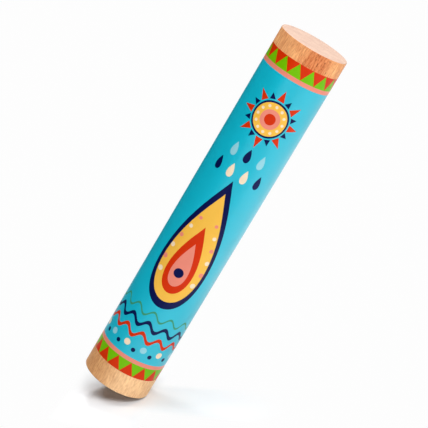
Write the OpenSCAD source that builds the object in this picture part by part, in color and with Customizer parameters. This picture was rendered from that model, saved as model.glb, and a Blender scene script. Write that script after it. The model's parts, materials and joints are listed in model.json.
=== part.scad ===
// Rain stick: a cardboard tube in a printed paper wrap, closed by two turned
// wooden caps. Nails driven through the tube wall along a helix make the loose
// steel beads trickle from one end to the other when the stick is turned over.
// The stick stands on its bottom cap, with its axis on Z.

/* [Tube] */
// Outside diameter of the wrapped stick and of both caps
stick_d = 50; // [40:0.5:70]
// Length of the tube between the two caps
tube_len = 250.5; // [200:0.5:500]
// Thickness of the cardboard wall
tube_wall = 2.5; // [1.5:0.1:4]

/* [Printed wrap] */
// Thickness of the printed paper
paper_t = 0.2; // [0.1:0.01:0.4]
// Thickness of the glue line under the paper
paper_glue = 0.05; // [0.02:0.01:0.1]
// Width of the seam, where the end of the paper laps over its start
seam_w = 8; // [4:0.5:20]
// Direction of the seam, seen from above
seam_side = 90; // [0:5:355]

/* [Caps] */
// Bare wood above the tube
top_cap_h = 12; // [8:0.5:30]
// Bare wood below the tube
bottom_cap_h = 15.5; // [8:0.5:30]
// Radius of the sanded outer edge of a cap
cap_edge_r = 1.5; // [0.5:0.1:3]
// Length of the spigot that plugs the tube
spigot_len = 14; // [8:0.5:25]
// Chamfer that leads the spigot into the tube
spigot_chamfer = 1; // [0.5:0.1:2]
// Glue line round the spigot
spigot_glue = 0.1; // [0.05:0.01:0.2]

/* [Nails] */
// Diameter of a nail's shank
nail_d = 1.8; // [1:0.1:2.4]
// Diameter of a nail's head
nail_head_d = 4.5; // [3:0.1:6]
// Thickness of a nail's head
nail_head_t = 0.7; // [0.4:0.1:1]
// Length of a nail's point
nail_point = 3; // [1:0.5:5]
// Clearance round a nail in the cardboard
nail_fit = 0.03; // [0.01:0.01:0.06]
// Diameter of the free core that the nail tips leave round the axis
core_d = 9; // [9:0.5:14]
// Nails in one turn of the helix
nails_per_turn = 12; // [8:1:12]
// Turns of the helix
nail_turns = 6; // [3:1:12]

/* [Beads] */
// Diameter of a bead
bead_d = 3.5; // [2.5:0.1:3.6]
// Layers of beads in the heap on the bottom cap
bead_layers = 3; // [1:1:4]
// Free space round a bead
bead_gap = 0.3; // [0.2:0.05:0.6]
// Free height between the heap and the nearest nail
heap_room = 3; // [2:0.5:10]

/* [Hidden] */
$fn = 96;
cut = 1;

// Radii from the outside in
stick_r = stick_d / 2;
tube_r = stick_r - paper_t - paper_glue;
bore_r = tube_r - tube_wall;
spigot_r = bore_r - spigot_glue;

// Heights from the bottom up
tube_z = bottom_cap_h;
tube_top_z = tube_z + tube_len;
floor_z = tube_z + spigot_len;
ceiling_z = tube_top_z - spigot_len;

// A nail's head lies just inside the tube's outer face, on the flat floor of its seat
nail_seat_r = nail_head_d / 2 + nail_fit;
nail_top = sqrt(tube_r * tube_r - nail_seat_r * nail_seat_r);
nail_seat = nail_top - nail_head_t;
nail_shank = nail_seat - core_d / 2;

// The nails keep clear of the heap at either end
layer_h = bead_d + bead_gap;
heap_h = bead_gap + bead_layers * layer_h;
nail_low_z = floor_z + heap_h + heap_room + nail_d / 2;
nail_high_z = ceiling_z - heap_h - heap_room - nail_d / 2;
nail_count = nail_turns * nails_per_turn;
nail_rise = (nail_high_z - nail_low_z) / (nail_count - 1);
nail_turn_deg = 360 / nails_per_turn;

// A lane runs the whole length of the tube halfway between two neighbouring nails
lane_half_deg = nail_turn_deg / 2;
bead_clear = (bead_d + nail_d) / 2 + bead_gap;
lane_min_r = bead_clear / sin(lane_half_deg);
wall_r = bore_r - bead_gap - bead_d / 2;
pair_deg = asin(layer_h / 2 / wall_r);
pair_fits = wall_r * sin(lane_half_deg - pair_deg) >= bead_clear;
wall_turns = pair_fits ? [-pair_deg, pair_deg] : [0];
row_r = wall_r - layer_h * (pair_fits ? cos(30) : 1);
row_count = max(0, 1 + floor((row_r - lane_min_r) / layer_h));
core_r = layer_h / sqrt(3);

// Lays its children along one nail of the helix: their Z axis starts on the axis
// of the stick and runs out through the wall
module at_nail(index) {
    translate([0, 0, nail_low_z + index * nail_rise])
        rotate([0, 0, index * nail_turn_deg])
            rotate([0, 90, 0]) children();
}

// The seat that a nail's head is pressed into, and the hole its shank makes
module nail_hole() {
    translate([0, 0, nail_seat]) cylinder(r = nail_seat_r, h = tube_r - nail_seat + cut);
    translate([0, 0, bore_r - tube_wall])
        cylinder(d = nail_d + 2 * nail_fit, h = nail_seat - bore_r + tube_wall + cut);
}

module nail() {
    translate([0, 0, core_d / 2]) cylinder(d1 = 0, d2 = nail_d, h = nail_point);
    translate([0, 0, core_d / 2 + nail_point])
        cylinder(d = nail_d, h = nail_shank - nail_point);
    translate([0, 0, nail_seat]) cylinder(d = nail_head_d, h = nail_head_t);
}

// Cardboard tube, pierced along the helix
module tube() {
    color("tan") difference() {
        translate([0, 0, tube_z]) cylinder(r = tube_r, h = tube_len);
        translate([0, 0, tube_z - cut]) cylinder(r = bore_r, h = tube_len + 2 * cut);
        for (index = [0 : nail_count - 1]) at_nail(index) nail_hole();
    }
}

// Printed paper, one turn round the tube, with a lapped seam
module printed_wrap() {
    seam_deg = seam_w / stick_r * 180 / PI;
    seam_bond = paper_t / 2;
    color("darkturquoise") translate([0, 0, tube_z]) {
        rotate_extrude() translate([stick_r - paper_t, 0]) square([paper_t, tube_len]);
        rotate([0, 0, seam_side - seam_deg / 2]) rotate_extrude(angle = seam_deg)
            translate([stick_r - seam_bond, 0]) square([seam_bond + paper_t, tube_len]);
    }
}

// Half section of a turned cap that stands on its outer face
module cap_profile(wood_h) {
    square([stick_r - cap_edge_r, wood_h]);
    translate([0, cap_edge_r]) square([stick_r, wood_h - cap_edge_r]);
    translate([stick_r - cap_edge_r, cap_edge_r]) circle(r = cap_edge_r);
    polygon([
        [0, 0],
        [spigot_r, 0],
        [spigot_r, wood_h + spigot_len - spigot_chamfer],
        [spigot_r - spigot_chamfer, wood_h + spigot_len],
        [0, wood_h + spigot_len]
    ]);
}

module bottom_cap() {
    color("burlywood") rotate_extrude() cap_profile(bottom_cap_h);
}

module top_cap() {
    color("burlywood") translate([0, 0, tube_top_z + top_cap_h]) mirror([0, 0, 1])
        rotate_extrude() cap_profile(top_cap_h);
}

// The nails of one turn of the helix
module nail_turn(turn) {
    color("silver") for (step = [0 : nails_per_turn - 1])
        at_nail((turn - 1) * nails_per_turn + step) nail();
}

module bead() {
    sphere(d = bead_d);
}

// The beads that fall along one lane: a pair at the wall, then single ones inwards
module bead_lane(lane) {
    color("lightgray") rotate([0, 0, (lane - 0.5) * nail_turn_deg])
        for (layer = [0 : bead_layers - 1])
            translate([0, 0, floor_z + bead_gap + bead_d / 2 + layer * layer_h]) {
                for (turn = wall_turns)
                    rotate([0, 0, turn]) translate([wall_r, 0, 0]) bead();
                for (row = [0 : 1 : row_count - 1])
                    translate([row_r - row * layer_h, 0, 0]) bead();
            }
}

// The beads that fall along the free core
module bead_core() {
    color("lightgray") for (layer = [0 : bead_layers - 1], third = [0 : 2])
        translate([0, 0, floor_z + bead_gap + bead_d / 2 + layer * layer_h])
            rotate([0, 0, third * 120]) translate([core_r, 0, 0]) bead();
}

tube();
printed_wrap();
top_cap();
bottom_cap();
for (turn = [1 : nail_turns])
    nail_turn(turn);
for (lane = [1 : nails_per_turn])
    bead_lane(lane);
bead_core();
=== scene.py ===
import json
import math

import bpy
import numpy as np
from mathutils import Matrix, Vector
from mathutils.geometry import delaunay_2d_cdt


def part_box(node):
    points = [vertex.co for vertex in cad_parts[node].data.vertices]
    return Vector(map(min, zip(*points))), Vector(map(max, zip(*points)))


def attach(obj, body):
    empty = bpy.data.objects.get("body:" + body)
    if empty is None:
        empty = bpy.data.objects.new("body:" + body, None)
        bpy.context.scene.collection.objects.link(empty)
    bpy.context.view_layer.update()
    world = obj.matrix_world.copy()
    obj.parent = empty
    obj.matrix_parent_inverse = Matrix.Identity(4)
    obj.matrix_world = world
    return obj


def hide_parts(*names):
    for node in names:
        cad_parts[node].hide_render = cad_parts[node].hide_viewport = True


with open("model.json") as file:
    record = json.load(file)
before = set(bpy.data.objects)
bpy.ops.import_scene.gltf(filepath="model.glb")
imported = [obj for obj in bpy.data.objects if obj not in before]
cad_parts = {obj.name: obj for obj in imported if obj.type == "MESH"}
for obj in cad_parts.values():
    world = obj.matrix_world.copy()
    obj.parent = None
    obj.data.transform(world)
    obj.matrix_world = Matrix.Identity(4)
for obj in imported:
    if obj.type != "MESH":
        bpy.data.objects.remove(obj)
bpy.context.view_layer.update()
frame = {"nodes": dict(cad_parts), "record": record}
nodes = frame["nodes"]
mm = 0.001

# Sizes that the rest is built from, read off the frame
mounts = {mount["name"]: mount for mount in frame["record"]["mounts"]}
stickRadius = mounts["tube_grip"]["dims"]["r_mm"] * mm
wrapLow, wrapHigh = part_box("printed_wrap")
paperThick = wrapHigh.y - stickRadius  # the seam is one paper proud, at the back
print("frame loaded:", len(nodes), "nodes")


# Colours are written as 0-255 values, as a picker shows them
def colour(red, green, blue):
    def toLinear(value):
        value /= 255
        return value / 12.92 if value <= 0.04045 else ((value + 0.055) / 1.055) ** 2.4
    return (toLinear(red), toLinear(green), toLinear(blue), 1.0)


def addObject(name, data):
    thing = bpy.data.objects.new(name, data)
    bpy.context.scene.collection.objects.link(thing)
    return thing


# Short ways to build node trees
def addNode(tree, kind, **settings):
    node = tree.nodes.new(kind)
    for name, value in settings.items():
        setattr(node, name, value)
    return node


def feed(tree, source, target):
    if isinstance(source, bpy.types.NodeSocket):
        tree.links.new(source, target)
    else:
        target.default_value = source


def calc(tree, operation, first, second=0.0, third=0.0):
    node = addNode(tree, "ShaderNodeMath", operation=operation)
    for socket, value in zip(node.inputs, (first, second, third)):
        feed(tree, value, socket)
    return node.outputs[0]


# Takes a value that runs from 0 to 1 to the range from low to high
def between(tree, value, low, high):
    return calc(tree, "MULTIPLY_ADD", value, high - low, low)


# Takes a noise, which lies round a half, to values round 0
def centred(tree, value):
    return calc(tree, "SUBTRACT", value, 0.5)


# A soft step from 0 to 1
def ramp(tree, value, low, high):
    node = addNode(tree, "ShaderNodeMapRange", interpolation_type="SMOOTHSTEP")
    for label, socketValue in (("Value", value), ("From Min", low), ("From Max", high)):
        feed(tree, socketValue, node.inputs[label])
    return node.outputs["Result"]


def vectorCalc(tree, operation, first, second=None):
    node = addNode(tree, "ShaderNodeVectorMath", operation=operation)
    feed(tree, first, node.inputs[0])
    if second is not None:
        feed(tree, second, node.inputs[1])
    return node.outputs["Value" if operation in ("LENGTH", "DOT_PRODUCT") else "Vector"]


def splitVector(tree, vector):
    node = addNode(tree, "ShaderNodeSeparateXYZ")
    feed(tree, vector, node.inputs["Vector"])
    return node.outputs


def joinVector(tree, x, y, z=0.0):
    node = addNode(tree, "ShaderNodeCombineXYZ")
    for socket, value in zip(node.inputs, (x, y, z)):
        feed(tree, value, socket)
    return node.outputs["Vector"]


def blendColours(tree, amount, first, second):
    node = addNode(tree, "ShaderNodeMix", data_type="RGBA", clamp_factor=True)
    for label, value in (("Factor", amount), ("A", first), ("B", second)):
        feed(tree, value, node.inputs[label])
    return node.outputs["Result"]


def shadeColour(tree, tint, value, hue=0.5, saturation=1.0):
    node = addNode(tree, "ShaderNodeHueSaturation")
    for label, given in (("Color", tint), ("Value", value), ("Hue", hue), ("Saturation", saturation)):
        feed(tree, given, node.inputs[label])
    return node.outputs["Color"]


def blendShaders(tree, amount, first, second):
    node = addNode(tree, "ShaderNodeMixShader")
    for socket, source in zip(node.inputs, (amount, first, second)):
        feed(tree, source, socket)
    return node.outputs[0]


def noise(tree, place, scale, detail=2.0, roughness=0.5, stretch=None):
    if stretch:
        mapping = addNode(tree, "ShaderNodeMapping", vector_type="POINT")
        feed(tree, place, mapping.inputs["Vector"])
        mapping.inputs["Scale"].default_value = stretch
        place = mapping.outputs["Vector"]
    node = addNode(tree, "ShaderNodeTexNoise")
    for label, value in (("Vector", place), ("Scale", scale), ("Detail", detail), ("Roughness", roughness)):
        feed(tree, value, node.inputs[label])
    return node.outputs["Fac"]


surfaceOutputs = [
    ("Color", "NodeSocketColor"),
    ("Roughness", "NodeSocketFloat"),
    ("Height", "NodeSocketFloat"),
]


def startGroup(name, inputs):
    tree = bpy.data.node_groups.new(name, "ShaderNodeTree")
    for label, kind, value in inputs:
        socket = tree.interface.new_socket(label, in_out="INPUT", socket_type=kind)
        socket.default_value = value
    for label, kind in surfaceOutputs:
        tree.interface.new_socket(label, in_out="OUTPUT", socket_type=kind)
    given = addNode(tree, "NodeGroupInput").outputs
    result = addNode(tree, "NodeGroupOutput").inputs
    return tree, given, result


# A material whose colour, roughness and bump come from a group
def startMaterial(name, group, values, bumpHigh):
    material = bpy.data.materials.new(name)
    material.use_nodes = True
    tree = material.node_tree
    shader = tree.nodes["Principled BSDF"]
    effect = addNode(tree, "ShaderNodeGroup", node_tree=group)
    for label, value in values.items():
        effect.inputs[label].default_value = value
    tree.links.new(effect.outputs["Color"], shader.inputs["Base Color"])
    tree.links.new(effect.outputs["Roughness"], shader.inputs["Roughness"])
    bump = addNode(tree, "ShaderNodeBump")
    bump.inputs["Distance"].default_value = bumpHigh
    tree.links.new(effect.outputs["Height"], bump.inputs["Height"])
    tree.links.new(bump.outputs["Normal"], shader.inputs["Normal"])
    return material, shader


# Paper: cloudy ink cover, fine speckle, and fibres that lie across the sheet
paperGrain = {
    "cloud": {"scale": 70.0, "detail": 3.0},
    "speckle": {"scale": 1900.0, "roughness": 0.6},
    "fibre": {"scale": 1300.0, "detail": 4.0, "roughness": 0.65, "stretch": (1.0, 1.0, 0.3)},
    "fibreGloss": 0.18,
}


def makePaperGroup():
    tree, given, result = startGroup("paperFibre", [
        ("Tint", "NodeSocketColor", (0.8, 0.8, 0.8, 1.0)),
        ("Cloud", "NodeSocketFloat", 0.05),
        ("Speckle", "NodeSocketFloat", 0.05),
        ("Gloss", "NodeSocketFloat", 0.4),
    ])
    place = addNode(tree, "ShaderNodeTexCoord").outputs["Object"]
    cloud = centred(tree, noise(tree, place, **paperGrain["cloud"]))
    speckle = centred(tree, noise(tree, place, **paperGrain["speckle"]))
    fibre = noise(tree, place, **paperGrain["fibre"])
    cloudShift = calc(tree, "MULTIPLY", cloud, given["Cloud"])
    speckleShift = calc(tree, "MULTIPLY", speckle, given["Speckle"])
    shift = calc(tree, "ADD", cloudShift, speckleShift)
    feed(tree, shadeColour(tree, given["Tint"], calc(tree, "ADD", 1.0, shift)), result["Color"])
    gloss = calc(tree, "MULTIPLY_ADD", centred(tree, fibre), paperGrain["fibreGloss"], given["Gloss"])
    feed(tree, gloss, result["Roughness"])
    feed(tree, fibre, result["Height"])
    return tree


# Beech: growth rings and a redder, darker zone round a pith outside the stick, which is heartwood and,
# on the bottom cap, also painted shade on its left side, rays that show as short dark flecks where the
# surface faces the pith, and fibres along the stick
beechGrain = {
    "endTurn": (0.25, 0.75),  # how upright a face's normal is where end grain starts, and is full
    "wander": {"scale": 65.0, "detail": 3.0, "stretch": (1.0, 1.0, 0.35)},
    "wanderReach": 5.0 * mm,
    "pithLean": 0.10,
    "ringWide": 2.3 * mm,
    "ringStep": 3.7,  # from one ring's random depth to the next one's
    "ringDarkFrom": 0.25,
    "raySize": (0.6 * mm, 4.0 * mm, 3.6 * mm),  # round the pith, outward and along the stick
    "fleckSize": (0.24, 0.54),
    "fleckFade": 0.16,
    "fleckDepth": (0.25, 1.0),
    "fleckTurned": (0.5, 1.0),  # seen from the ray's side, and from its end
    "fleckInHeartAndShade": (0.55, 1.0),  # in pale wood, and in the heartwood and painted shade zone
    "plainEnd": (1.0, 0.4),  # how much of the fine figure shows along the side, and on the end
    "fleckSink": -0.6,
    "fibre": {"scale": 1500.0, "detail": 3.0, "roughness": 0.6, "stretch": (1.0, 1.0, 0.10)},
    "mottle": {"scale": 820.0, "detail": 3.0, "roughness": 0.65, "stretch": (1.0, 1.0, 0.25)},
    "patch": {"scale": 170.0, "detail": 3.0, "roughness": 0.6, "stretch": (1.0, 1.0, 0.5)},
    "fibreShift": 0.40,
    "patchShift": 0.36,
    "hueShift": 0.05,
    "fullerShift": -0.26,
    "gloss": 0.40,
    "fibreGloss": 0.16,
    "endGloss": 0.15,
}


def makeBeechGroup():
    tree, given, result = startGroup("beechFigure", [
        ("Side Tint", "NodeSocketColor", (0.8, 0.5, 0.3, 1.0)),
        ("Heart And Shade Tint", "NodeSocketColor", (0.7, 0.4, 0.2, 1.0)),
        ("End Tint", "NodeSocketColor", (0.9, 0.6, 0.5, 1.0)),
        ("Fleck Tint", "NodeSocketColor", (0.4, 0.2, 0.1, 1.0)),
        ("Rings", "NodeSocketFloat", 0.1),
        ("Mottle", "NodeSocketFloat", 0.8),
        ("Flecks", "NodeSocketFloat", 0.5),
        ("Heart And Shade Reach", "NodeSocketFloat", 0.04),
        ("Heart And Shade Fade", "NodeSocketFloat", 0.005),
        ("Pith", "NodeSocketVector", (0.06, 0.03, 0.0)),
    ])
    place = addNode(tree, "ShaderNodeTexCoord").outputs["Object"]
    normal = addNode(tree, "ShaderNodeNewGeometry").outputs["Normal"]
    upright = calc(tree, "ABSOLUTE", splitVector(tree, normal)["Z"])
    onEnd = ramp(tree, upright, *beechGrain["endTurn"])
    plain = between(tree, onEnd, *beechGrain["plainEnd"])

    # Polar coordinates round the pith, which leans a little
    fromPith = vectorCalc(tree, "SUBTRACT", place, given["Pith"])
    parts = splitVector(tree, fromPith)
    flat = vectorCalc(tree, "MULTIPLY", fromPith, (1.0, 1.0, 0.0))
    distance = vectorCalc(tree, "LENGTH", flat)
    across = calc(tree, "MULTIPLY", calc(tree, "ARCTAN2", parts["Y"], parts["X"]), distance)
    wander = centred(tree, noise(tree, place, **beechGrain["wander"]))
    outward = calc(tree, "MULTIPLY_ADD", wander, beechGrain["wanderReach"], distance)
    outward = calc(tree, "MULTIPLY_ADD", parts["Z"], beechGrain["pithLean"], outward)
    facing = vectorCalc(tree, "DOT_PRODUCT", vectorCalc(tree, "NORMALIZE", flat), normal)

    ringPlace = calc(tree, "DIVIDE", outward, beechGrain["ringWide"])
    ringNumber = calc(tree, "FLOOR", ringPlace)
    ringDepth = addNode(tree, "ShaderNodeTexNoise", noise_dimensions="1D")
    feed(tree, calc(tree, "MULTIPLY", ringNumber, beechGrain["ringStep"]), ringDepth.inputs["W"])
    ring = ramp(tree, calc(tree, "FRACT", ringPlace), beechGrain["ringDarkFrom"], 1.0)
    ring = calc(tree, "MULTIPLY", ring, ringDepth.outputs["Fac"])
    # Heartwood, and on the bottom cap also painted shade: a darker zone within reach of the pith
    heartAndShade = calc(tree, "SUBTRACT", given["Heart And Shade Reach"], outward)
    heartAndShade = ramp(tree, calc(tree, "DIVIDE", heartAndShade, given["Heart And Shade Fade"]), -1.0, 1.0)

    # Ray flecks: short spindles, each with its own size and depth
    raySteps = [calc(tree, "DIVIDE", part, size)
                for part, size in zip((across, outward, parts["Z"]), beechGrain["raySize"])]
    spindles = addNode(tree, "ShaderNodeTexVoronoi")
    feed(tree, joinVector(tree, *raySteps), spindles.inputs["Vector"])
    spindles.inputs["Scale"].default_value = 1.0
    chance = addNode(tree, "ShaderNodeSeparateColor")
    feed(tree, spindles.outputs["Color"], chance.inputs["Color"])
    reach = between(tree, chance.outputs["Red"], *beechGrain["fleckSize"])
    inFleck = calc(tree, "SUBTRACT", reach, spindles.outputs["Distance"])
    fleck = ramp(tree, inFleck, 0.0, beechGrain["fleckFade"])
    turned = calc(tree, "POWER", calc(tree, "ABSOLUTE", facing), 2.0)
    for share in (between(tree, chance.outputs["Green"], *beechGrain["fleckDepth"]),
                  between(tree, turned, *beechGrain["fleckTurned"]),
                  between(tree, heartAndShade, *beechGrain["fleckInHeartAndShade"]),
                  plain):
        fleck = calc(tree, "MULTIPLY", fleck, share)

    fibre = noise(tree, place, **beechGrain["fibre"])
    mottle = centred(tree, noise(tree, place, **beechGrain["mottle"]))
    patch = centred(tree, noise(tree, place, **beechGrain["patch"]))
    # Near the pith the side takes the heart and shade tint: heartwood, and on the bottom cap painted shade
    side = blendColours(tree, heartAndShade, given["Side Tint"], given["Heart And Shade Tint"])
    base = blendColours(tree, onEnd, side, given["End Tint"])
    fine = calc(tree, "MULTIPLY", centred(tree, fibre), beechGrain["fibreShift"])
    fine = calc(tree, "MULTIPLY_ADD", mottle, given["Mottle"], fine)
    fine = calc(tree, "MULTIPLY", fine, plain)
    shift = calc(tree, "MULTIPLY_ADD", patch, beechGrain["patchShift"], fine)
    shift = calc(tree, "SUBTRACT", shift, calc(tree, "MULTIPLY", ring, given["Rings"]))

    # Where the wood is darker it is redder and fuller in colour too
    value = calc(tree, "ADD", 1.0, shift)
    hue = calc(tree, "MULTIPLY_ADD", shift, beechGrain["hueShift"], 0.5)
    fuller = calc(tree, "MULTIPLY_ADD", shift, beechGrain["fullerShift"], 1.0)
    shaded = shadeColour(tree, base, value, hue, fuller)
    marked = blendColours(tree, calc(tree, "MULTIPLY", fleck, given["Flecks"]), shaded, given["Fleck Tint"])
    feed(tree, marked, result["Color"])
    gloss = calc(tree, "MULTIPLY_ADD", fibre, beechGrain["fibreGloss"], beechGrain["gloss"])
    gloss = calc(tree, "MULTIPLY_ADD", onEnd, beechGrain["endGloss"], gloss)
    feed(tree, gloss, result["Roughness"])
    feed(tree, calc(tree, "MULTIPLY_ADD", fleck, beechGrain["fleckSink"], fibre), result["Height"])
    return tree


# Steel: dull tumbling marks and fine scratches
steelGrain = {
    "dull": {"scale": 700.0, "detail": 3.0},
    "dullRange": (0.35, 0.7),
    "dullGloss": 0.2,
    "scratch": {"scale": 4000.0, "stretch": (1.0, 0.2, 1.0)},
}


def makeSteelGroup():
    tree, given, result = startGroup("steelMarks", [
        ("Tint", "NodeSocketColor", (0.5, 0.5, 0.5, 1.0)),
        ("Dulling", "NodeSocketFloat", 0.3),
        ("Gloss", "NodeSocketFloat", 0.3),
    ])
    place = addNode(tree, "ShaderNodeTexCoord").outputs["Object"]
    dull = ramp(tree, noise(tree, place, **steelGrain["dull"]), *steelGrain["dullRange"])
    darker = calc(tree, "MULTIPLY", dull, given["Dulling"])
    feed(tree, shadeColour(tree, given["Tint"], calc(tree, "SUBTRACT", 1.0, darker)), result["Color"])
    gloss = calc(tree, "MULTIPLY_ADD", dull, steelGrain["dullGloss"], given["Gloss"])
    feed(tree, gloss, result["Roughness"])
    feed(tree, noise(tree, place, **steelGrain["scratch"]), result["Height"])
    return tree


paperFibre = makePaperGroup()
beechFigure = makeBeechGroup()
steelMarks = makeSteelGroup()
print("node groups made")


# Inks of the printed wrap: colour, cloudiness, and shine under one satin varnish, which
# the strong inks soak up most
inkSettings = {
    "turquoise": {"tint": (0, 186, 210), "cloud": 0.05, "shine": 0.80},
    "navy": {"tint": (2, 14, 74), "cloud": 0.10, "shine": 0.20},
    "yellow": {"tint": (246, 190, 72), "cloud": 0.04, "shine": 0.30},
    "red": {"tint": (212, 48, 0), "cloud": 0.05, "shine": 0.18},
    "coral": {"tint": (236, 138, 118), "cloud": 0.04, "shine": 0.35},
    "green": {"tint": (114, 190, 0), "cloud": 0.05, "shine": 0.18},
    "cream": {"tint": (246, 224, 192), "cloud": 0.03, "shine": 0.40},
    "pale": {"tint": (146, 210, 222), "cloud": 0.03, "shine": 0.50},
    "teal": {"tint": (60, 150, 110), "cloud": 0.05, "shine": 0.30},
}
varnish = {"speckle": 0.05, "gloss": 0.33, "fibreHigh": 0.004 * mm}


def makeInk(name):
    settings = inkSettings[name]
    material, shader = startMaterial("ink_" + name, paperFibre, {
        "Tint": colour(*settings["tint"]),
        "Cloud": settings["cloud"],
        "Speckle": varnish["speckle"],
        "Gloss": varnish["gloss"],
    }, varnish["fibreHigh"])
    shader.inputs["Specular IOR Level"].default_value = settings["shine"]
    return material


# Bare paper and board share the fibres, with no varnish on them
bareSettings = {
    "paperBack": {"tint": (236, 232, 222), "cloud": 0.05, "speckle": 0.08, "fibreHigh": 0.010 * mm},
    "kraftBoard": {"tint": (172, 134, 94), "cloud": 0.22, "speckle": 0.30, "fibreHigh": 0.030 * mm},
}
bareFinish = {"gloss": 0.85, "shine": 0.3}


def makeBarePaper(name):
    settings = bareSettings[name]
    material, shader = startMaterial(name, paperFibre, {
        "Tint": colour(*settings["tint"]),
        "Cloud": settings["cloud"],
        "Speckle": settings["speckle"],
        "Gloss": bareFinish["gloss"],
    }, settings["fibreHigh"])
    shader.inputs["Specular IOR Level"].default_value = bareFinish["shine"]
    return material


# The two caps are cut from different blanks: the upper one is redder
beechSettings = {
    "top_cap": {
        "side": (241, 170, 112),
        "heartAndShade": (216, 128, 77),
        "end": (213, 182, 163),
        "fleck": (142, 62, 30),
        "rings": 0.12,
        "mottle": 0.90,
        "flecks": 1.00,
        "heartAndShadeReach": 37.8 * mm,
        "heartAndShadeFade": 3.2 * mm,
        "pith": (0.0155, -0.058, 0.268),
    },
    "bottom_cap": {
        "side": (251, 204, 153),
        # Painted shade as well as heartwood tone: the pith lies off to the left, so the cap's left side is
        # painted darker
        "heartAndShade": (220, 161, 106),
        "end": (214, 182, 158),
        "fleck": (196, 118, 72),
        "rings": 0.10,
        "mottle": 0.50,
        "flecks": 0.80,
        "heartAndShadeReach": 47.5 * mm,
        "heartAndShadeFade": 14.5 * mm,
        "pith": (-0.052, -0.030, 0.008),
    },
}
beechFinish = {"grainHigh": 0.02 * mm, "shine": 0.15}


def makeBeech(name):
    settings = beechSettings[name]
    material, shader = startMaterial("beech_" + name, beechFigure, {
        "Side Tint": colour(*settings["side"]),
        "Heart And Shade Tint": colour(*settings["heartAndShade"]),
        "End Tint": colour(*settings["end"]),
        "Fleck Tint": colour(*settings["fleck"]),
        "Rings": settings["rings"],
        "Mottle": settings["mottle"],
        "Flecks": settings["flecks"],
        "Heart And Shade Reach": settings["heartAndShadeReach"],
        "Heart And Shade Fade": settings["heartAndShadeFade"],
        "Pith": settings["pith"],
    }, beechFinish["grainHigh"])
    shader.inputs["Specular IOR Level"].default_value = beechFinish["shine"]
    return material


steelSettings = {
    "nailWire": {"tint": (188, 186, 182), "dulling": 0.35, "gloss": 0.32},
    "tumbledBead": {"tint": (206, 207, 210), "dulling": 0.25, "gloss": 0.22},
}
scratchHigh = 0.003 * mm


def makeSteel(name):
    settings = steelSettings[name]
    material, shader = startMaterial(name, steelMarks, {
        "Tint": colour(*settings["tint"]),
        "Dulling": settings["dulling"],
        "Gloss": settings["gloss"],
    }, scratchHigh)
    shader.inputs["Metallic"].default_value = 1.0
    return material


def dress(nodeName, material):
    nodes[nodeName].data.materials.clear()
    nodes[nodeName].data.materials.append(material)


# The tube, nails and beads keep their shapes and get their finish
dress("tube", makeBarePaper("kraftBoard"))
nailWire = makeSteel("nailWire")
tumbledBead = makeSteel("tumbledBead")
for nodeName in nodes:
    if nodeName.startswith("nail"):
        dress(nodeName, nailWire)
    if nodeName.startswith("bead"):
        dress(nodeName, tumbledBead)
print("CAD pieces dressed")


# Turned caps, their edges only just eased. Each stands where the frame's cap stands, with
# the same spigot in the tube
capSettings = {
    "edge": 0.6 * mm,
    "edgeSteps": 6,
    "hold": 0.3 * mm,  # a ring this far from the edge keeps the faces beside it flat
    "faceRings": (0.30, 0.65),
    "segments": 160,
    "spigotRadius": 22.15 * mm,
    "spigotChamfer": 1.0 * mm,
    "sharpFrom": 35.0,
}


# Half section of a cap: radius, and depth under its outer face
def capProfile(woodHigh, wholeHigh):
    edge, hold, steps = capSettings["edge"], capSettings["hold"], capSettings["edgeSteps"]
    spigot, chamfer = capSettings["spigotRadius"], capSettings["spigotChamfer"]
    flatRadius = stickRadius - edge
    profile = [(share * flatRadius, 0.0) for share in capSettings["faceRings"]]
    profile.append((flatRadius - hold, 0.0))
    for step in range(steps + 1):
        turn = math.pi / 2 * step / steps
        profile.append((flatRadius + edge * math.sin(turn), edge - edge * math.cos(turn)))
    profile += [(stickRadius, edge + hold), (stickRadius, woodHigh), (spigot, woodHigh)]
    profile += [(spigot, wholeHigh - chamfer), (spigot - chamfer, wholeHigh)]
    return profile


def makeCap(pieceName, nodeName):
    low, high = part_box(nodeName)
    atTop = low.z > wrapLow.z
    woodHigh = high.z - wrapHigh.z if atTop else wrapLow.z - low.z
    segments = capSettings["segments"]
    points, faces = [], []
    for ring, (radius, depth) in enumerate(capProfile(woodHigh, high.z - low.z)):
        height = high.z - depth if atTop else low.z + depth
        first = ring * segments
        inner = first - segments
        for segment in range(segments):
            turn = 2 * math.pi * segment / segments
            points.append((radius * math.cos(turn), radius * math.sin(turn), height))
            following = (segment + 1) % segments
            if ring:
                faces.append((inner + segment, inner + following, first + following, first + segment))
    faces.append(tuple(reversed(range(segments))))
    faces.append(tuple(range(len(points) - segments, len(points))))
    if atTop:
        faces = [face[::-1] for face in faces]
    mesh = bpy.data.meshes.new(pieceName)
    mesh.from_pydata(points, [], faces)
    mesh.materials.append(makeBeech(nodeName))
    mesh.shade_smooth()
    mesh.set_sharp_from_angle(angle=math.radians(capSettings["sharpFrom"]))
    piece = addObject(pieceName, mesh)
    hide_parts(nodeName)
    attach(piece, "stick")


makeCap("topCap", "top_cap")
makeCap("bottomCap", "bottom_cap")
print("caps turned")


# The printed sheet is drawn flat in mm: x runs round the stick from the middle of the
# front towards the right, y runs up from the sheet's lower edge
girth = 2 * math.pi * stickRadius / mm
sheetHigh = (wrapHigh.z - wrapLow.z) / mm
printedSheet = {
    "lap": 8.0,
    "lapRise": 2.5,
    "facets": 120,
    "bleed": 1.0,
    "backDepth": 0.98,  # as a share of the paper's thickness
    "sunHigh": 208.0,
    "rainHigh": 172.0,
    "dropHigh": 107.0,
    "sideSize": 0.5,
    "sideRows": 3,
    "sideStep": 56.0,
}
sheetHalf = (girth + printedSheet["lap"]) / 2
printed = []  # ink and outline, painted in this order


def paint(ink, outline):
    printed.append((ink, outline))


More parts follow.
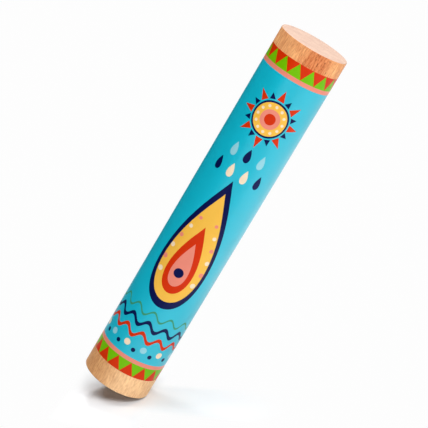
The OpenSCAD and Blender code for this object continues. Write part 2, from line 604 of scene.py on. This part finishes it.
def disc(x, y, radius, steps):
    turns = [2 * math.pi * step / steps for step in range(steps)]
    return [(x + radius * math.cos(turn), y + radius * math.sin(turn)) for turn in turns]


# A drop with its point up
dropShape = {"full": 0.59, "taper": 1.15}


def rainDrop(x, y, wide, tall, steps):
    full, taper = dropShape["full"], dropShape["taper"]
    outline = []
    for step in range(steps):
        turn = 2 * math.pi * step / steps
        aside = full * wide * math.sin(turn) * abs(math.sin(turn / 2)) ** taper
        outline.append((x + aside, y + 0.5 * tall * math.cos(turn)))
    return outline


def bar(low, high):
    end = sheetHalf + printedSheet["bleed"]
    return [(-end, low), (end, low), (end, high), (-end, high)]


# A sun: rays in turn long and short, rings, and dots round its middle
sunSettings = {
    "rays": 16,
    "rayFoot": 14.0,
    "longRay": {"ink": "red", "tip": 22.0, "halfWide": 2.6},
    "shortRay": {"ink": "navy", "tip": 18.5, "halfWide": 2.1},
    "rings": (("navy", 13.0), ("yellow", 11.7)),
    "ringSteps": 56,
    "dots": 12,
    "dotRing": 9.4,
    "dotRadius": 1.05,
    "dotSteps": 18,
    "middle": (("coral", 7.0, 48), ("red", 3.9, 36)),
}


def sunRay(x, y, turn, foot, tip, halfWide):
    along = (math.cos(turn), math.sin(turn))
    corners = [(foot, halfWide), (tip, 0.0), (foot, -halfWide)]
    return [(x + out * along[0] - side * along[1], y + out * along[1] + side * along[0])
            for out, side in corners]


def paintSun(x, y, size=1.0):
    rays, dots = sunSettings["rays"], sunSettings["dots"]
    for number in range(rays):
        ray = sunSettings["shortRay" if number % 2 else "longRay"]
        turn = 2 * math.pi * number / rays + math.pi / 2
        foot, tip, halfWide = sunSettings["rayFoot"] * size, ray["tip"] * size, ray["halfWide"] * size
        paint(ray["ink"], sunRay(x, y, turn, foot, tip, halfWide))
    for ink, radius in sunSettings["rings"]:
        paint(ink, disc(x, y, radius * size, sunSettings["ringSteps"]))
    out, dotRadius = sunSettings["dotRing"] * size, sunSettings["dotRadius"] * size
    for dot in range(dots):
        turn = 2 * math.pi * dot / dots
        place = (x + out * math.cos(turn), y + out * math.sin(turn))
        paint("cream", disc(*place, dotRadius, sunSettings["dotSteps"]))
    for ink, radius, steps in sunSettings["middle"]:
        paint(ink, disc(x, y, radius * size, steps))


# Two rows of rain drops: ink, and steps across and up from their middle
rainSettings = {
    "drops": (("pale", -1, 0.5), ("pale", 1, 0.5), ("navy", 0, 0.5),
              ("navy", -1.5, -0.5), ("navy", 1.5, -0.5),
              ("cream", -0.5, -0.5), ("cream", 0.5, -0.5)),
    "stepAcross": 10.5,
    "stepUp": 14.0,
    "wide": 5.4,
    "tall": 10.5,
    "steps": 32,
}


def paintRain(x, y, size=1.0):
    wide, tall = rainSettings["wide"] * size, rainSettings["tall"] * size
    stepAcross, stepUp = rainSettings["stepAcross"] * size, rainSettings["stepUp"] * size
    for ink, across, up in rainSettings["drops"]:
        paint(ink, rainDrop(x + stepAcross * across, y + stepUp * up, wide, tall, rainSettings["steps"]))


# One drop in another, with dots down both sides
bigDrop = {
    "layers": (
        {"ink": "navy", "lower": 0.0, "wide": 44.0, "tall": 104.0, "steps": 80},
        {"ink": "yellow", "lower": 2.4, "wide": 37.5, "tall": 88.0, "steps": 80},
        {"ink": "red", "lower": 12.6, "wide": 23.0, "tall": 54.0, "steps": 64},
        {"ink": "coral", "lower": 16.6, "wide": 14.4, "tall": 34.5, "steps": 52},
    ),
    "core": {"lower": 23.4, "radius": 3.5, "steps": 32},
    "dots": ((13.4, -27.5), (14.9, -18.2), (14.2, -8.6), (12.2, 0.8), (9.4, 9.8), (6.2, 18.4)),
    "dotRadius": 1.9,
    "dotShrink": 0.12,
    "dotSteps": 24,
}


def paintBigDrop(x, y):
    for layer in bigDrop["layers"]:
        outline = rainDrop(x, y - layer["lower"], layer["wide"], layer["tall"], layer["steps"])
        paint(layer["ink"], outline)
    core = bigDrop["core"]
    paint("navy", disc(x, y - core["lower"], core["radius"], core["steps"]))
    for side in (-1, 1):
        for dot, (across, up) in enumerate(bigDrop["dots"]):
            radius = bigDrop["dotRadius"] - bigDrop["dotShrink"] * dot
            ink = "coral" if dot % 2 else "cream"
            paint(ink, disc(x + side * across, y + up, radius, bigDrop["dotSteps"]))


# A string of dots, in turn large and small
dotString = {
    "low": 68.0,
    "high": 228.0,
    "count": 13,
    "inks": ("cream", "navy", "pale", "red"),
    "radii": (2.2, 1.5),
    "steps": 24,
}


def paintDotString(x):
    inks, radii = dotString["inks"], dotString["radii"]
    gap = dotString["high"] - dotString["low"]
    for dot in range(dotString["count"]):
        y = dotString["high"] - gap * dot / (dotString["count"] - 1)
        paint(inks[dot % len(inks)], disc(x, y, radii[dot % len(radii)], dotString["steps"]))


# Wave lines round the stick: ink, height and thickness. Small dots lie under their crests,
# large ones between them
waveSettings = {
    "count": 12,
    "rise": 2.6,
    "steps": 24,
    "lines": (("teal", 47.5, 1.6), ("navy", 39.0, 3.0), ("red", 30.0, 3.0)),
    "largeDots": {"high": 21.5, "radius": 2.4, "steps": 28},
    "smallDots": {"high": 18.5, "radius": 1.6, "steps": 22},
}


def waveLine(y, thick):
    count, steps = waveSettings["count"], waveSettings["steps"]
    half = steps * count // 2 + steps
    places = [girth / count / steps * step for step in range(-half, half + 1)]
    heights = [y + waveSettings["rise"] * math.cos(2 * math.pi * count * place / girth) for place in places]
    lower = [(place, height - thick / 2) for place, height in zip(places, heights)]
    upper = [(place, height + thick / 2) for place, height in zip(places, heights)]
    return lower + upper[::-1]


def paintWaves():
    for ink, high, thick in waveSettings["lines"]:
        paint(ink, waveLine(high, thick))
    crest = girth / waveSettings["count"]
    large, small = waveSettings["largeDots"], waveSettings["smallDots"]
    reach = waveSettings["count"] // 2 + 2
    for wave in range(-reach, reach + 1):
        ink = "cream" if wave % 2 else "pale"
        paint(ink, disc((wave + 0.5) * crest, large["high"], large["radius"], large["steps"]))
        paint("navy", disc(wave * crest, small["high"], small["radius"], small["steps"]))


def paintField():
    paintSun(0.0, printedSheet["sunHigh"])
    paintRain(0.0, printedSheet["rainHigh"])
    paintBigDrop(0.0, printedSheet["dropHigh"])
    size, step = printedSheet["sideSize"], printedSheet["sideStep"]
    for side in (-1, 1):
        paintDotString(side * girth / 2)
        for row in range(printedSheet["sideRows"]):
            high = printedSheet["sunHigh"] - row * step
            paintSun(side * girth / 3, high, size)
            paintRain(side * girth / 3, high - step / 2, size)
    paintWaves()


# A row of triangles and a stripe, the same way round at both ends, with red against the wood
endSettings = {
    "triangles": 15,
    "triangleHigh": 9.70,
    "stripeHigh": 3.05,
    "redApexTurn": 9.0,
}


def paintEnd(fromEdge):
    high = endSettings["triangleHigh"]
    step = girth / endSettings["triangles"]
    first = endSettings["redApexTurn"] / 360 * girth
    reach = endSettings["triangles"] // 2 + 2
    paint("green", [(x, fromEdge(y)) for x, y in bar(0.0, high)])
    for tooth in range(-reach, reach + 1):
        x = first + tooth * step
        paint("red", [(x - step / 2, fromEdge(0.0)), (x + step / 2, fromEdge(0.0)), (x, fromEdge(high))])
    paint("coral", [(x, fromEdge(y)) for x, y in bar(high, high + endSettings["stripeHigh"])])


paintField()
paintEnd(lambda y: y)
paintEnd(lambda y: sheetHigh - y)
print("print laid out:", len(printed), "shapes")


# Points closer than these count as one: in mm while the sheet is cut, in decimals at its border
joinWithin = 1e-4
joinDecimals = 3


# Cuts the flat sheet into triangles along the outlines and lines
def splitFlat(outlines, straightLines):
    points, edges = [], []
    for outline in outlines:
        first = len(points)
        points += [Vector(point) for point in outline]
        edges += [(first + step, first + (step + 1) % len(outline)) for step in range(len(outline))]
    for start, end in straightLines:
        edges.append((len(points), len(points) + 1))
        points += [Vector(start), Vector(end)]
    found = delaunay_2d_cdt(points, edges, [], 0, joinWithin)
    places = np.array([tuple(point) for point in found[0]])
    triangles = np.array(found[2])
    middles = places[triangles].mean(1)
    inside = (abs(middles[:, 0]) < sheetHalf) & (middles[:, 1] > 0) & (middles[:, 1] < sheetHigh)
    used, renumbered = np.unique(triangles[inside], return_inverse=True)
    return places[used], renumbered.reshape(-1, 3)


# Turns all triangles to face up (1) or down (-1)
def turnTo(way, places, triangles):
    corners = places[triangles]
    facing = way * np.cross(corners[:, 1] - corners[:, 0], corners[:, 2] - corners[:, 0])
    triangles[facing < 0] = triangles[facing < 0][:, ::-1]


def isInside(middles, outline):
    x, y = middles[:, 0], middles[:, 1]
    inside = np.zeros(len(middles), bool)
    for (x1, y1), (x2, y2) in zip(outline, outline[1:] + outline[:1]):
        if y1 == y2:
            continue
        crosses = ((y1 > y) != (y2 > y)) & (x < (x2 - x1) * (y - y1) / (y2 - y1) + x1)
        inside ^= crosses
    return inside


def inkOf(middles, inkNames):
    chosen = np.full(len(middles), inkNames.index("turquoise"))
    for ink, outline in printed:
        corners = np.array(outline)
        near = np.flatnonzero(((middles > corners.min(0)) & (middles < corners.max(0))).all(1))
        chosen[near[isInside(middles[near], outline)]] = inkNames.index(ink)
    return chosen


def turnRound(places):
    return places[:, 0] * mm / stickRadius - math.pi / 2


# Rolls the flat sheet: its end climbs over its start, and laps it at the back
def rolled(places, depth):
    lap, rise = printedSheet["lap"], printedSheet["lapRise"]
    climb = np.clip((places[:, 0] - (sheetHalf - lap - rise)) / rise, 0, 1)
    climb = climb * climb * (3 - 2 * climb)
    radius = stickRadius - depth + climb * paperThick
    turn = turnRound(places)
    return np.column_stack([radius * np.cos(turn), radius * np.sin(turn), wrapLow.z + places[:, 1] * mm])


def borderLoop(triangles):
    edges = np.concatenate([triangles[:, [0, 1]], triangles[:, [1, 2]], triangles[:, [2, 0]]])
    known = set(map(tuple, edges))
    following = {start: end for start, end in known if (end, start) not in known}
    loop = [min(following)]
    while following[loop[-1]] != loop[0]:
        loop.append(following[loop[-1]])
    return loop


# Round shading across the staves, square at the cut edges
def shadeRound(mesh, flatPlaces, faceCount, backCount):
    turn = turnRound(flatPlaces)
    outward = np.column_stack([np.cos(turn), np.sin(turn), np.zeros(len(turn))])
    normals = np.zeros((len(mesh.loops), 3))
    for polygon in mesh.polygons:
        for corner in polygon.loop_indices:
            if polygon.index < faceCount:
                normals[corner] = outward[mesh.loops[corner].vertex_index]
            elif polygon.index < faceCount + backCount:
                normals[corner] = -outward[mesh.loops[corner].vertex_index]
            else:
                normals[corner] = polygon.normal
    mesh.polygons.foreach_set("use_smooth", [True] * len(mesh.polygons))
    mesh.normals_split_custom_set(normals.tolist())


# The wrap's picture: the printed side large, the back small beside it, and the cut edges
# as a thin frame in the corner that is left
sheetOnPicture = {
    "margin": 0.01,
    "printed": 0.98,
    "back": 0.48,
    "frame": 0.44,
    "frameInside": 0.97,
}


def layOut(mesh, flatPlaces, faceCount, backCount, facePoints):
    margin, tall = sheetOnPicture["margin"], sheetOnPicture["printed"]
    share = (flatPlaces + (sheetHalf, 0.0)) / sheetHigh
    wide = 2 * sheetHalf / sheetHigh
    beside = 2 * margin + tall * wide
    printedPlaces = share * tall + margin
    backPlaces = share * sheetOnPicture["back"] + (beside, margin)
    middle = np.array((wide / 2, 0.5))
    inset = np.where(np.arange(len(share)) < facePoints, 1.0, sheetOnPicture["frameInside"])[:, None]
    framePlaces = ((share - middle) * inset + middle) * sheetOnPicture["frame"]
    framePlaces += (beside, 2 * margin + sheetOnPicture["back"])
    layer = mesh.uv_layers.new(name="OFBake")
    for polygon in mesh.polygons:
        places = framePlaces
        if polygon.index < faceCount:
            places = printedPlaces
        elif polygon.index < faceCount + backCount:
            places = backPlaces
        for corner in polygon.loop_indices:
            layer.data[corner].uv = places[mesh.loops[corner].vertex_index]


def makeWrap():
    inkNames = list(inkSettings)
    border = [(-sheetHalf, 0.0), (sheetHalf, 0.0), (sheetHalf, sheetHigh), (-sheetHalf, sheetHigh)]
    facet = girth / printedSheet["facets"]
    reach = int(sheetHalf / facet)
    staves = [((stave * facet, 0.0), (stave * facet, sheetHigh)) for stave in range(-reach, reach + 1)]
    face, faceTriangles = splitFlat([outline for ink, outline in printed] + [border], staves)
    turnTo(1, face, faceTriangles)
    inks = inkOf(face[faceTriangles].mean(1), inkNames)

    # The back of the sheet has the same border and no print
    loop = borderLoop(faceTriangles)
    back, backTriangles = splitFlat([[tuple(face[point]) for point in loop]], staves)
    turnTo(-1, back, backTriangles)
    backAt = {tuple(np.round(point, joinDecimals)): number for number, point in enumerate(back)}
    backLoop = [backAt[tuple(np.round(face[point], joinDecimals))] + len(face) for point in loop]
    rims = [(loop[step - 1], backLoop[step - 1], backLoop[step], loop[step]) for step in range(len(loop))]

    mesh = bpy.data.meshes.new("printedSheet")
    points = np.concatenate([rolled(face, 0.0), rolled(back, paperThick * printedSheet["backDepth"])])
    faces = faceTriangles.tolist() + (backTriangles + len(face)).tolist() + rims
    mesh.from_pydata(points.tolist(), [], [[int(point) for point in corners] for corners in faces])
    for ink in inkNames:
        mesh.materials.append(makeInk(ink))
    mesh.materials.append(makeBarePaper("paperBack"))
    bare = np.full(len(backTriangles) + len(rims), len(inkNames))
    mesh.polygons.foreach_set("material_index", np.concatenate([inks, bare]).astype(np.int32))
    mesh.update()
    mesh.validate()
    flatPlaces = np.concatenate([face, back])
    shadeRound(mesh, flatPlaces, len(faceTriangles), len(backTriangles))
    layOut(mesh, flatPlaces, len(faceTriangles), len(backTriangles), len(face))
    print("wrap rolled:", len(mesh.polygons), "faces")
    return addObject("printedWrap", mesh)


printedWrap = makeWrap()
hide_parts("printed_wrap")
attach(printedWrap, "stick")


# The camera looks slightly down on the stick, which leans to the right in the picture
cameraSettings = {
    "place": (0.0, -1.12571, 0.47001),
    "right": (0.859649, 0.143315, 0.490372),
    "up": (-0.510885, 0.241389, 0.825062),
    "lens": 143.3,
    "sensor": 36.0,
    "clip": (0.05, 50.0),
}


def makeCamera():
    data = bpy.data.cameras.new("camera")
    data.lens = cameraSettings["lens"]
    data.sensor_width = cameraSettings["sensor"]
    data.clip_start, data.clip_end = cameraSettings["clip"]
    camera = addObject("camera", data)
    right = Vector(cameraSettings["right"]).normalized()
    back = right.cross(Vector(cameraSettings["up"])).normalized()
    turned = Matrix((right, back.cross(right), back)).transposed().to_4x4()
    camera.matrix_world = Matrix.Translation(Vector(cameraSettings["place"])) @ turned
    bpy.context.scene.camera = camera
    return camera


camera = makeCamera()
print("camera set")


# The studio floor touches the rounded edge of the bottom cap, so the stick leans on it.
# The shade under the stick is measured from its own middle, along it and across it
floorSettings = {
    "up": (-0.4905, -0.0376, 0.8706),
    "half": 6.0,
    # The floor colour is faintly blue, painted so that its shade stays cool under the cap's warm bounce
    # light
    "tint": (0.903, 0.920, 0.940, 1.0),
    "rightTint": (0.875, 0.920, 0.960, 1.0),  # a cooler colour painted on the floor where the cap throws warm light, to cancel that light
    "bounceTint": (0.65, 0.65, 0.65, 1.0),
    "shadeMiddle": (-0.026, 0.0, 0.004),  # right, up and front of where the stick stands
    "shadeTurn": 14.0,
    "fade": (0.022, 0.060),
    "rightShare": 0.46,  # the shade reaches further on the right
    "right": (0.020, 0.034),
    "rightLift": 0.28,
    "warmEnd": (0.060, 0.034),
    "left": (-0.016, -0.034),
    "bandMiddle": -0.003,  # on the right it is a narrow band
    "band": (0.014, 0.030),
}
shownWhite = 0.985
floorUp = Vector(floorSettings["up"]).normalized()


def touchingPoint():
    lean = Vector((-floorUp.x, -floorUp.y, 0.0)).normalized()
    edge = capSettings["edge"]
    return lean * (stickRadius - edge) + Vector((0.0, 0.0, edge)) - floorUp * edge


floorPoint = touchingPoint()
towardCamera = camera.location - floorPoint
studioFront = (towardCamera - floorUp * towardCamera.dot(floorUp)).normalized()
studioRight = studioFront.cross(floorUp) * -1.0


def studioPlace(right, up, front):
    return floorPoint + studioRight * right + floorUp * up + studioFront * front


def makeQuad(name, corners):
    mesh = bpy.data.meshes.new(name)
    mesh.from_pydata([tuple(studioPlace(*corner)) for corner in corners], [], [(0, 1, 2, 3)])
    material = bpy.data.materials.new(name)
    material.use_nodes = True
    material.node_tree.nodes.clear()
    mesh.materials.append(material)
    return addObject(name, mesh), material.node_tree


# The background shows to the camera, in gloss and through glass
def isSeen(tree, path):
    seen = calc(tree, "MAXIMUM", path.outputs["Is Camera Ray"], path.outputs["Is Glossy Ray"])
    return calc(tree, "MAXIMUM", seen, path.outputs["Is Transmission Ray"])


def shadeCoordinates(tree, position):
    gap = vectorCalc(tree, "SUBTRACT", position, studioPlace(*floorSettings["shadeMiddle"]))
    turn = math.radians(floorSettings["shadeTurn"])
    lengthwise = studioRight * math.cos(turn) + studioFront * math.sin(turn)
    sideways = studioFront * math.cos(turn) - studioRight * math.sin(turn)
    return vectorCalc(tree, "DOT_PRODUCT", gap, lengthwise), vectorCalc(tree, "DOT_PRODUCT", gap, sideways)


# How far the shade has faded to white at a point of the floor
def shadeFade(tree, along, across, onRight):
    rightWay = calc(tree, "MULTIPLY", along, floorSettings["rightShare"])
    leftWay = calc(tree, "MULTIPLY", along, -1.0)
    reach = joinVector(tree, calc(tree, "MAXIMUM", rightWay, leftWay), across)
    aside = calc(tree, "ABSOLUTE", calc(tree, "SUBTRACT", across, floorSettings["bandMiddle"]))
    besideBand = ramp(tree, aside, *floorSettings["band"])
    fade = ramp(tree, vectorCalc(tree, "LENGTH", reach), *floorSettings["fade"])
    for other in (calc(tree, "MULTIPLY", onRight, floorSettings["rightLift"]),
                  calc(tree, "MULTIPLY", onRight, besideBand),
                  ramp(tree, along, *floorSettings["left"])):
        fade = calc(tree, "MAXIMUM", fade, other)
    return fade


def makeFloor():
    half = floorSettings["half"]
    floor, tree = makeQuad("floor", [(right * half, 0.0, front * half)
                                     for right, front in ((-1, 1), (1, 1), (1, -1), (-1, -1))])
    path = addNode(tree, "ShaderNodeLightPath")
    place = addNode(tree, "ShaderNodeNewGeometry")
    along, across = shadeCoordinates(tree, place.outputs["Position"])
    onRight = ramp(tree, along, *floorSettings["right"])
    # Right of the stick a cooler floor colour is painted where the cap's warm bounce light falls
    warm = calc(tree, "MULTIPLY", onRight, ramp(tree, along, *floorSettings["warmEnd"]))
    tint = blendColours(tree, warm, floorSettings["tint"], floorSettings["rightTint"])
    matt = addNode(tree, "ShaderNodeBsdfDiffuse")
    grey = blendColours(tree, path.outputs["Is Diffuse Ray"], tint, floorSettings["bounceTint"])
    feed(tree, grey, matt.inputs["Color"])
    white = addNode(tree, "ShaderNodeEmission")
    white.inputs["Strength"].default_value = shownWhite
    clear = addNode(tree, "ShaderNodeBsdfTransparent")
    faded = calc(tree, "MULTIPLY", shadeFade(tree, along, across, onRight), isSeen(tree, path))
    topSide = blendShaders(tree, faded, matt.outputs[0], white.outputs[0])
    bothSides = blendShaders(tree, place.outputs["Backfacing"], topSide, clear.outputs[0])
    out = addNode(tree, "ShaderNodeOutputMaterial")
    tree.links.new(bothSides, out.inputs["Surface"])


makeFloor()


# Cards that only reflections see. The black ones keep white off the left and the middle of
# the stick, the bright ones light its right side. Each has the places of two opposite
# corners over the floor (right, up, front)
cardSettings = {
    "standingLeft": {"from": (-0.70, 0.002, 1.10), "to": (-0.70, 0.90, -4.00), "bright": 0.01},
    "lyingInFront": {"from": (-0.70, 0.002, 1.10), "to": (0.18, 0.002, 0.20), "bright": 0.01},
    "lyingBehind": {"from": (-0.70, 0.002, -0.50), "to": (-0.08, 0.002, -4.00), "bright": 0.01},
    "lyingBelow": {"from": (0.035, 0.002, 0.08), "to": (0.095, 0.002, -0.06), "bright": 0.80},
    "lyingRight": {"from": (0.11, 0.002, 0.16), "to": (0.30, 0.002, -0.60), "bright": 1.30},
}


def makeCard(name, settings):
    near, far = Vector(settings["from"]), Vector(settings["to"])
    standing = near.x == far.x
    beside = Vector((near.x, near.y, far.z)) if standing else Vector((far.x, near.y, near.z))
    card, tree = makeQuad(name, (near, beside, far, near + far - beside))
    glow = addNode(tree, "ShaderNodeEmission")
    glow.inputs["Strength"].default_value = settings["bright"]
    out = addNode(tree, "ShaderNodeOutputMaterial")
    tree.links.new(glow.outputs[0], out.inputs["Surface"])
    card.visible_camera = False
    card.visible_diffuse = False
    card.visible_shadow = False


for cardName, settings in cardSettings.items():
    makeCard(cardName, settings)
print("floor and cards laid")


# Soft lamps: where each stands over the floor (right, up, front), its size and its power
lampAim = (0.07, 0.12, 0.0)
lampSettings = {
    "mainFront": {"place": (0.66, 1.87, 1.77), "wide": 1.30, "tall": 0.60, "power": 41.0},
    "wideTop": {"place": (0.07, 2.69, 0.34), "wide": 2.00, "tall": 2.00, "power": 25.0},
    "backTop": {"place": (0.07, 2.37, -1.30), "wide": 0.60, "tall": 0.60, "power": 23.0},
    "sideRight": {"place": (2.02, 0.85, 1.56), "wide": 0.60, "tall": 0.60, "power": 21.0},
    "topLeft": {"place": (-1.02, 2.48, 0.0), "wide": 0.60, "tall": 0.60, "power": 11.5},
}


def makeLamp(name, settings):
    data = bpy.data.lights.new(name, "AREA")
    data.shape = "RECTANGLE"
    data.size = settings["wide"]
    data.size_y = settings["tall"]
    data.energy = settings["power"]
    lamp = addObject(name, data)
    lamp.visible_camera = False
    lamp.location = studioPlace(*settings["place"])
    lamp.rotation_mode = "QUATERNION"
    back = (lamp.location - studioPlace(*lampAim)).normalized()
    across = floorUp.cross(back).normalized()
    lamp.rotation_quaternion = Matrix((across, back.cross(across), back)).transposed().to_quaternion()


for lampName, settings in lampSettings.items():
    makeLamp(lampName, settings)
print("lamps hung")


# The world is white to look at, and a weaker even light on the object
worldSettings = {"evenLight": 0.05, "tint": (1.0, 1.0, 1.0, 1.0)}


def makeWorld():
    world = bpy.data.worlds.new("studio")
    bpy.context.scene.world = world
    world.use_nodes = True
    tree = world.node_tree
    tree.nodes.clear()
    path = addNode(tree, "ShaderNodeLightPath")
    backgrounds = []
    for strength in (worldSettings["evenLight"], shownWhite):
        background = addNode(tree, "ShaderNodeBackground")
        background.inputs["Color"].default_value = worldSettings["tint"]
        background.inputs["Strength"].default_value = strength
        backgrounds.append(background.outputs[0])
    out = addNode(tree, "ShaderNodeOutputWorld")
    tree.links.new(blendShaders(tree, isSeen(tree, path), *backgrounds), out.inputs["Surface"])


makeWorld()
bpy.context.scene.view_settings.view_transform = "Standard"
print("studio ready")
